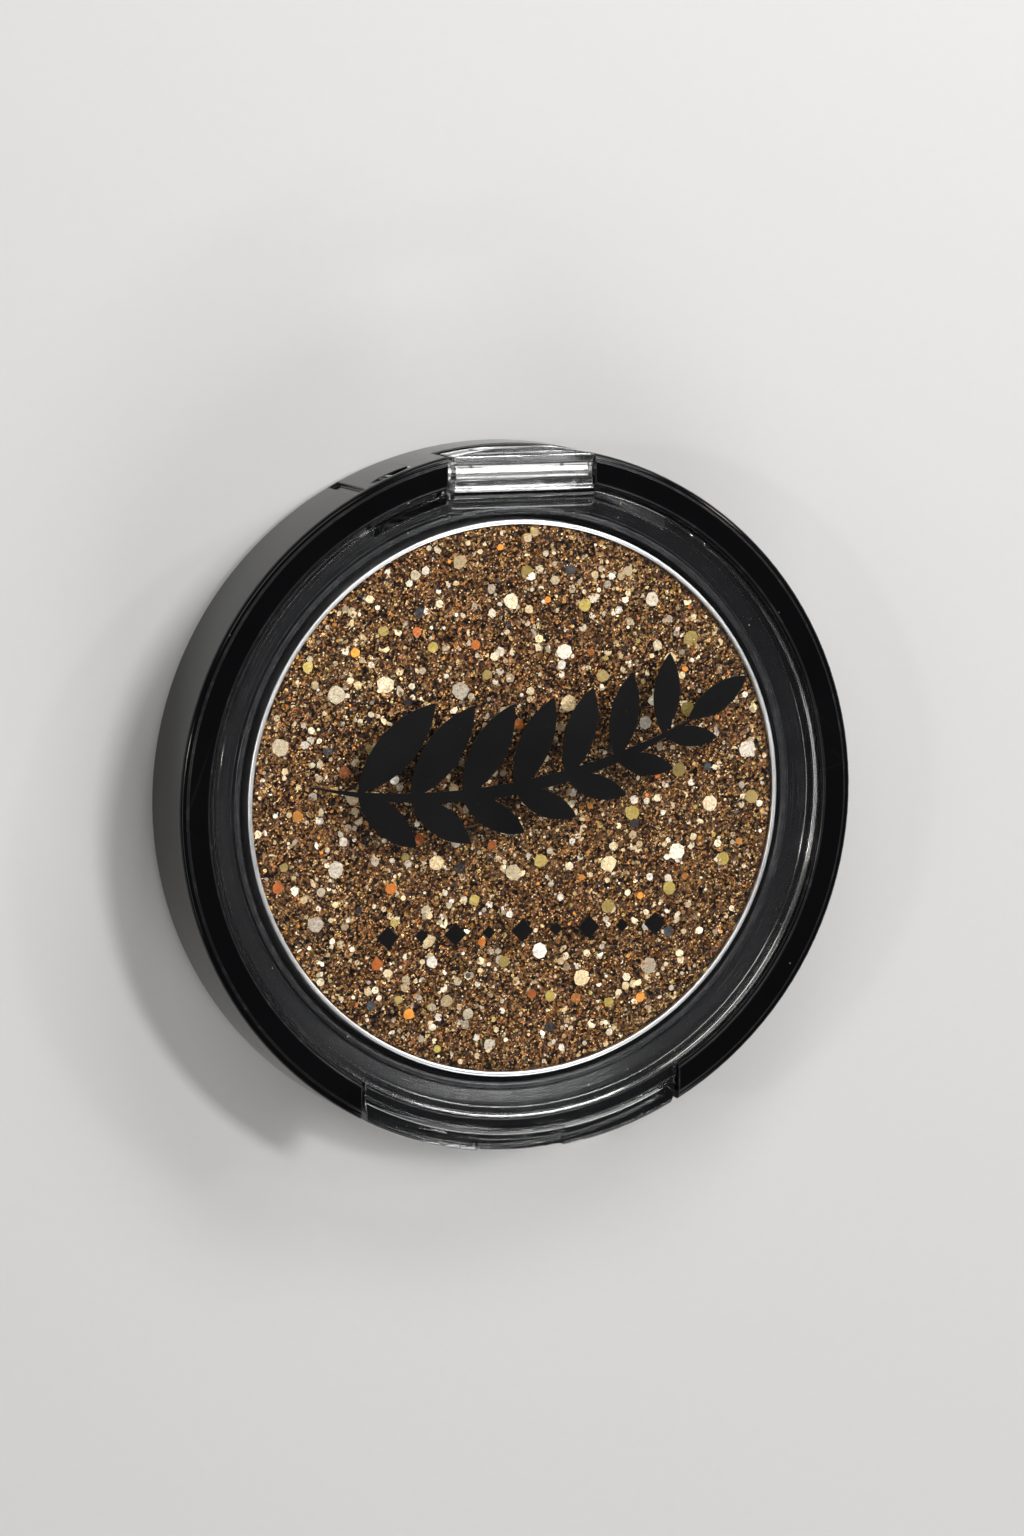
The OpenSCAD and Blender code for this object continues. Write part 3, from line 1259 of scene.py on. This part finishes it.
@dataclass
class FlakeBatch:
    """Flakes of one film as a single mesh of thin closed plates.

    Attributes:
        tints: The colours that single flakes vary between.
        sides: Sides of a plate.
        brightness: Brightness of the dullest and the brightest plate.
        ragged: Share of its full width that a corner may fall back to.
        thickness: Thickness of the film.
    """

    tints: tuple[Colour, ...]
    sides: int = 6
    brightness: tuple[float, float] = (0.3, 1.1)
    ragged: float = 0.74
    thickness: float = 0.018 * MM

    def points(
        self, centres: np.ndarray, widths: np.ndarray, lean: float, rng: np.random.Generator
    ) -> np.ndarray:
        """The corners of every plate, its upper ones first.

        Args:
            centres: One row of x, y, z for each plate.
            widths: Corner-to-corner width of each plate.
            lean: Typical tilt in degrees.
            rng: Where the random draws come from.

        Returns:
            One row of x, y, z for each corner.
        """
        count, sides = len(centres), self.sides
        turn = rng.uniform(0.0, 2 * math.pi, count)
        tilt = np.radians(rng.normal(0.0, lean, count))
        around = rng.uniform(0.0, 2 * math.pi, count)
        ragged = rng.uniform(self.ragged, 1.0, (count, sides))
        angle = turn[:, None] + np.arange(sides)[None, :] * 2 * math.pi / sides
        ring = np.stack([np.cos(angle), np.sin(angle), np.zeros_like(angle)], axis=2)
        ring *= (ragged * widths[:, None] / 2)[:, :, None]
        axis = np.stack([np.cos(around), np.sin(around), np.zeros(count)], axis=1)
        up = np.array([0.0, 0.0, 1.0])
        normal = up * np.cos(tilt)[:, None] + np.cross(axis, up) * np.sin(tilt)[:, None]
        along = np.einsum("nsk,nk->ns", ring, axis)[:, :, None] * axis[:, None, :]
        amount = np.einsum("nsk,nk->ns", ring - along, np.cross(up, axis))[:, :, None]
        tilted = along + amount * np.cross(normal, axis)[:, None, :]
        top = centres[:, None, :] + tilted + normal[:, None, :] * self.thickness / 2
        low = top - normal[:, None, :] * self.thickness
        return np.concatenate([top, low], axis=1).reshape(-1, 3)

    def faces(self, count: int) -> list[list[int]]:
        """The faces of every plate: its top, its underside and its edge.

        Args:
            count: How many plates there are.

        Returns:
            The corners of each face.
        """
        sides = self.sides
        faces: list[list[int]] = []
        for at in range(0, count * 2 * sides, 2 * sides):
            faces.append([at + k for k in range(sides)])
            faces.append([at + 2 * sides - 1 - k for k in range(sides)])
            for k in range(sides):
                after = (k + 1) % sides
                faces.append([at + k, at + sides + k, at + sides + after, at + after])
        return faces

    def colours(self, count: int, rng: np.random.Generator) -> np.ndarray:
        """A colour for every plate.

        Args:
            count: How many plates there are.
            rng: Where the random draws come from.

        Returns:
            One row of red, green, blue and alpha for each plate.
        """
        tints = np.array(self.tints)
        pick = rng.integers(0, len(tints), count)
        other = rng.integers(0, len(tints), count)
        share = rng.uniform(0.0, 1.0, (count, 1))
        colour = tints[pick] * share + tints[other] * (1 - share)
        colour = np.clip(colour * rng.uniform(*self.brightness, (count, 1)), 0.0, 1.0)
        return np.concatenate([colour, np.ones((count, 1))], axis=1)

    def mesh(
        self, name: str, centres: np.ndarray, widths: np.ndarray, lean: float, rng: np.random.Generator
    ) -> bpy.types.Mesh:
        """Builds the plates.

        Args:
            name: The mesh's name.
            centres: One row of x, y, z for each plate.
            widths: Corner-to-corner width of each plate.
            lean: Typical tilt in degrees.
            rng: Where the random draws come from.

        Returns:
            The mesh, with each plate's colour in its tint attribute.
        """
        faces = self.faces(len(centres))
        mesh = bpy.data.meshes.new(name)
        mesh.from_pydata(self.points(centres, widths, lean, rng).tolist(), [], faces)
        by_face = np.repeat(self.colours(len(centres), rng), self.sides + 2, axis=0)
        by_corner = np.repeat(by_face, [len(face) for face in faces], axis=0)
        tint = mesh.color_attributes.new(TINT, "FLOAT_COLOR", "CORNER")
        tint.data.foreach_set("color", by_corner.astype(np.float32).ravel())
        mesh.update()
        return mesh


@dataclass
class Powder(SubAssembly):
    """The pressed glitter: a granular bed, fine flakes over it and large flakes on top.

    Attributes:
        nodes: The frame's nodes by name.
        seed: Seed of every random draw.
        rings: Rings of corners in the bed's top.
        around: Corners in each ring.
        crowding: How the rings close up towards the edge, 1 for even rings.
        relief: Height of the bed's grain.
        shoulder: Width of its rounded shoulder.
        shoulder_drop: How far the shoulder falls at its edge.
        fine_count: What the films' shares of fine flakes are measured by.
        margin: How far fine flakes stay from the bed's edge.
        sunk: Lowest and highest place of a fine flake, in millimetres from the bed's top.
        rarity: How quickly flakes get rarer as they get wider.
        large_sides: Sides of a large flake.
        large_lift: Height of the large flakes over the bed's top.
        large_lean: Typical tilt of a large flake in degrees.
        wander: How far a large flake may lie from its even place.
        rng: Where the random draws come from.
        top: Height of the bed's top.
        radius: Radius of the bed.
    """

    seed: int = 11
    rings: int = 110
    around: int = 420
    crowding: float = 0.9
    relief: float = 0.045 * MM
    shoulder: float = 0.25 * MM
    shoulder_drop: float = 0.12 * MM
    fine_count: int = 2600
    margin: float = 0.35 * MM
    sunk: tuple[float, float] = (-0.05, 0.02)
    rarity: float = 3.4
    large_sides: int = 8
    large_lift: float = 0.035 * MM
    large_lean: float = 4.0
    wander: float = 1.0 * MM
    rng: np.random.Generator = field(init=False)
    top: float = field(init=False)
    radius: float = field(init=False)

    def __post_init__(self) -> None:
        """Seeds the draws and takes the bed's place from the frame."""
        low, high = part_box("glitter_cake")
        self.top = high.z
        self.radius = (high.x - low.x) / 2
        self.rng = np.random.default_rng(self.seed)

    def bed_points(self, floor: float) -> list[tuple[float, ...]]:
        """The bed's corners: its granular top, its lower edge, its middle and its underside's.

        Args:
            floor: Height of its underside.

        Returns:
            The corners.
        """
        radii = np.linspace(0.0, 1.0, self.rings + 1)[1:] ** self.crowding * self.radius
        angles = np.arange(self.around) * 2 * math.pi / self.around
        grain = np.clip(self.rng.normal(0.0, 1.0, (self.rings, self.around)), -1, 1)
        drop = np.clip((radii - (self.radius - self.shoulder)) / self.shoulder, 0.0, 1.0)
        height = self.top - self.relief + grain * self.relief * 0.5
        height = height - (drop**2)[:, None] * self.shoulder_drop
        x = radii[:, None] * np.cos(angles)[None, :]
        y = radii[:, None] * np.sin(angles)[None, :]
        points = np.stack([x, y, height], axis=2).reshape(-1, 3).tolist()
        points += [(self.radius * math.cos(a), self.radius * math.sin(a), floor) for a in angles]
        return points + [(0.0, 0.0, self.top - self.relief), (0.0, 0.0, floor)]

    def bed_faces(self, centre: int, under: int) -> list[tuple[int, ...]]:
        """The bed's faces, from its middle over the edge to its underside.

        Args:
            centre: Place of the top's middle among the corners.
            under: Place of the underside's middle.

        Returns:
            The corners of each face.
        """
        faces: list[tuple[int, ...]] = []
        rim = self.rings * self.around
        for k in range(self.around):
            after = (k + 1) % self.around
            faces.append((centre, k, after))
            for start in range(0, rim, self.around):
                a, b = start + k, start + after
                faces.append((a, a + self.around, b + self.around, b))
            faces.append((rim + k, under, rim + after))
        return faces

    def bed(self) -> bpy.types.Object:
        """Builds the pressed bed, closed underneath.

        Returns:
            The piece.
        """
        low, _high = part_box("glitter_cake")
        points = self.bed_points(low.z)
        mesh = bpy.data.meshes.new("glitter_bed")
        mesh.from_pydata(points, [], self.bed_faces(len(points) - 2, len(points) - 1))
        return new_piece("glitter_bed", mesh, PressedGlitter())

    def scatter(self, count: int) -> np.ndarray:
        """Places spread evenly over the bed.

        Args:
            count: How many places.

        Returns:
            One row of x, y, z for each.
        """
        radius = (self.radius - self.margin) * np.sqrt(self.rng.uniform(0, 1, count))
        angle = self.rng.uniform(0, 2 * math.pi, count)
        z = self.top + self.rng.uniform(*self.sunk, count) * MM
        return np.stack([radius * np.cos(angle), radius * np.sin(angle), z], axis=1)

    def fine(self, film: Film) -> None:
        """Builds one film's fine and middling flakes.

        Args:
            film: The film.
        """
        small, large = film.widths
        count = int(self.fine_count * film.share)
        centres = self.scatter(count)
        widths = (small + (large - small) * self.rng.uniform(0, 1, count) ** self.rarity) * MM
        name = f"fine_{film.kind.value}_glitter"
        mesh = FlakeBatch(film.tints).mesh(name, centres, widths, film.lean, self.rng)
        take_over(new_piece(name, mesh, film.finish(), smooth=False), Body.CASE, film.slot)

    def places_of(self, node: str) -> tuple[np.ndarray, np.ndarray]:
        """Where a frame node's separate plates lie, and how wide each is.

        Args:
            node: The frame node.

        Returns:
            Their centres and their widths.
        """
        work = bmesh.new()
        work.from_mesh(self.nodes[node].data)
        bmesh.ops.remove_doubles(work, verts=work.verts, dist=1e-6)
        seen: set[bmesh.types.BMVert] = set()
        centres, widths = [], []
        for start in work.verts:
            if start in seen:
                continue
            island, todo = [], [start]
            seen.add(start)
            while todo:
                vert = todo.pop()
                island.append(vert.co.copy())
                for other in (edge.other_vert(vert) for edge in vert.link_edges):
                    if other not in seen:
                        seen.add(other)
                        todo.append(other)
            middle = sum(island, Vector()) / len(island)
            centres.append(middle)
            widths.append(2 * max((p - middle).xy.length for p in island))
        work.free()
        return np.array(centres), np.array(widths)

    def large(self, film: Film) -> None:
        """Builds one film's large flakes about where the frame puts them.

        Args:
            film: The film.
        """
        centres, widths = self.places_of(film.node)
        centres[:, :2] += self.rng.uniform(-self.wander, self.wander, (len(centres), 2))
        centres[:, 2] = self.top + self.large_lift
        name = f"large_{film.kind.value}_flakes"
        batch = FlakeBatch(film.tints, self.large_sides)
        mesh = batch.mesh(name, centres, widths, self.large_lean, self.rng)
        take_over(new_piece(name, mesh, film.finish(), smooth=False), Body.CASE, film.slot, film.node)

    def build(self) -> None:
        """Builds the bed, the fine flakes and the large flakes."""
        take_over(self.bed(), Body.CASE, "pressed_glitter", "glitter_cake")
        for film in FILMS:
            self.fine(film)
        for film in FILMS:
            if film.node:
                self.large(film)


@dataclass
class Lid(SubAssembly):
    """The clear lid and the ornament printed on it.

    Attributes:
        nodes: The frame's nodes by name.
        edges: How its mould edges are rounded.
        acrylic: The moulding's finish.
        ink: The print's finish.
    """

    edges: EdgeBreak = EdgeBreak(0.11 * MM)
    acrylic: Finish = ClearAcrylic()
    ink: Finish = PrintInk()

    def build(self) -> None:
        """Builds the moulding, and inks the print, which keeps the frame's own shape."""
        lid = self.edges.apply(self.nodes["lid"], "clear_lid", self.acrylic)
        take_over(lid, Body.LID, "lid_clear", "lid")
        ornament = self.nodes["lid_print"]
        ornament.data.materials.clear()
        ornament.data.materials.append(self.ink.material())
        log.info("%s: the frame's own shape, inked", ornament.name)


@dataclass
class Hinge(SubAssembly):
    """The steel pin.

    Attributes:
        nodes: The frame's nodes by name.
        ends: How its cut ends are rounded.
        steel: Its finish.
    """

    ends: EdgeBreak = EdgeBreak(0.12 * MM)
    steel: Finish = SpunMetal("tumbled_steel", (0.72, 0.71, 0.7), (0.5, 0.49, 0.48), 0.2, 4200.0)

    def build(self) -> None:
        """Builds the pin with broken edges at its ends."""
        pin = self.ends.apply(self.nodes["hinge_pin"], "steel_pin", self.steel)
        take_over(pin, Body.CASE, "pin_steel", "hinge_pin")


# ---------------------------------------------------------------------------
# Studio
# ---------------------------------------------------------------------------


@dataclass
class SoftBox:
    """One studio light.

    Attributes:
        name: The lamp's name.
        towards: Direction from the compact to the lamp.
        distance: How far off it is.
        width: Width of its panel.
        height: Height of its panel.
        watts: Its power.
        colour: Its colour.
    """

    name: str
    towards: Colour
    distance: float
    width: float
    height: float
    watts: float
    colour: Colour = (1.0, 1.0, 1.0)

    def build(self, centre: Vector) -> None:
        """Hangs the lamp so that it faces the compact.

        Args:
            centre: The middle of the compact.
        """
        lamp = bpy.data.lights.new(self.name, "AREA")
        lamp.shape = "RECTANGLE"
        lamp.size, lamp.size_y = self.width, self.height
        lamp.energy, lamp.color = self.watts, self.colour
        holder = bpy.data.objects.new(self.name, lamp)
        bpy.context.scene.collection.objects.link(holder)
        way = Vector(self.towards).normalized()
        holder.location = centre + way * self.distance
        holder.rotation_euler = (-way).to_track_quat("-Z", "Y").to_euler()


WARM_WHITE = (1.0, 0.98, 0.95)
LAMP_GOLD = (1.0, 0.93, 0.82)

SOFT_BOXES = (
    SoftBox("key_box", (-0.5, 0.75, 0.95), 0.75, 0.45, 0.25, 0.9, WARM_WHITE),
    SoftBox("hinge_strip", (0.33, 0.8, 0.52), 0.4, 0.3, 0.1, 0.8),
    SoftBox("deck_box", (0.333, 0.37, 0.865), 0.5, 0.14, 0.05, 1.05),
    SoftBox("front_strip", (0.333, -0.87, 0.38), 0.5, 0.3, 0.03, 0.5),
    SoftBox("side_box", (-1.0, -0.2, 0.62), 0.5, 0.35, 0.12, 0.2),
    SoftBox("front_box", (0.36, -0.8, 0.62), 0.6, 0.4, 0.2, 0.7),
    SoftBox("glint_left", (-0.95, 0.1, 0.8), 0.45, 0.03, 0.03, 0.2, LAMP_GOLD),
    SoftBox("glint_right", (0.9, 0.5, 0.75), 0.45, 0.03, 0.03, 0.2, LAMP_GOLD),
)


@dataclass
class Studio:
    """The pale floor, the soft lights and the camera.

    Attributes:
        eye: Direction from the pan's middle to the camera.
        distance: How far the camera stands off.
        lens: Focal length in millimetres.
        sensor: Width of the film in millimetres.
        reach: Nearest and furthest distance that the camera sees.
        aside: How far the camera aims above and left of the pan's middle.
        floor_radius: Radius of the tabletop.
        floor_sides: Corners of its outline.
        air_colour: Colour of the light that fills the room.
        air_strength: Strength of that light.
        lights: The lamps.
    """

    eye: Colour = (-0.333, 0.127, 0.934)
    distance: float = 0.54
    lens: float = 149.6
    sensor: float = 36.0
    reach: tuple[float, float] = (0.01, 20.0)
    aside: tuple[float, float] = (2.61 * MM, 0.23 * MM)
    floor_radius: float = 2.5
    floor_sides: int = 96
    air_colour: Colour = (0.92, 0.95, 1.0)
    air_strength: float = 0.06
    lights: tuple[SoftBox, ...] = SOFT_BOXES

    def camera(self, centre: Vector) -> None:
        """Sets the camera on its line to the pan, with the hinge at the top.

        Args:
            centre: The pan's middle.
        """
        back = Vector(self.eye).normalized()
        right = Vector((0.0, 1.0, 0.0)).cross(back).normalized()
        up = back.cross(right).normalized()
        aim = centre + up * self.aside[0] - right * self.aside[1]
        data = bpy.data.cameras.new("camera")
        data.sensor_width = self.sensor
        data.lens = self.lens
        data.clip_start, data.clip_end = self.reach
        holder = bpy.data.objects.new("camera", data)
        turn = Matrix((right, up, back)).transposed().to_4x4()
        holder.matrix_world = Matrix.Translation(aim + back * self.distance) @ turn
        bpy.context.scene.collection.objects.link(holder)
        bpy.context.scene.camera = holder

    def floor(self) -> None:
        """Lays a wide round tabletop at the foot's height."""
        work = bmesh.new()
        bmesh.ops.create_circle(
            work, cap_ends=True, segments=self.floor_sides, radius=self.floor_radius
        )
        mesh = bpy.data.meshes.new("tabletop")
        work.to_mesh(mesh)
        work.free()
        new_piece("tabletop", mesh, StudioFloor())

    def air(self) -> None:
        """Fills the room with a plain soft light."""
        world = bpy.data.worlds.new("studio_air")
        world.use_nodes = True
        sky = world.node_tree.nodes["Background"]
        sky.inputs["Color"].default_value = (*self.air_colour, 1.0)
        sky.inputs["Strength"].default_value = self.air_strength
        bpy.context.scene.world = world
        bpy.context.scene.view_settings.view_transform = "Standard"

    def build(self) -> None:
        """Builds the studio round the compact."""
        _low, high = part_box("pan")
        centre = Vector((0.0, 0.0, high.z))
        self.floor()
        self.air()
        for light in self.lights:
            light.build(centre)
        self.camera(centre)


def main() -> None:
    """Builds every sub-assembly in order."""
    logging.basicConfig(level=logging.INFO, format="%(name)s: %(message)s")
    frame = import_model()
    nodes = frame["nodes"]
    compact = (Case(nodes), Tray(nodes), Pan(nodes), Powder(nodes), Lid(nodes), Hinge(nodes))
    for part in (*compact, Studio()):
        part.build()


if __name__ == "__main__":
    main()
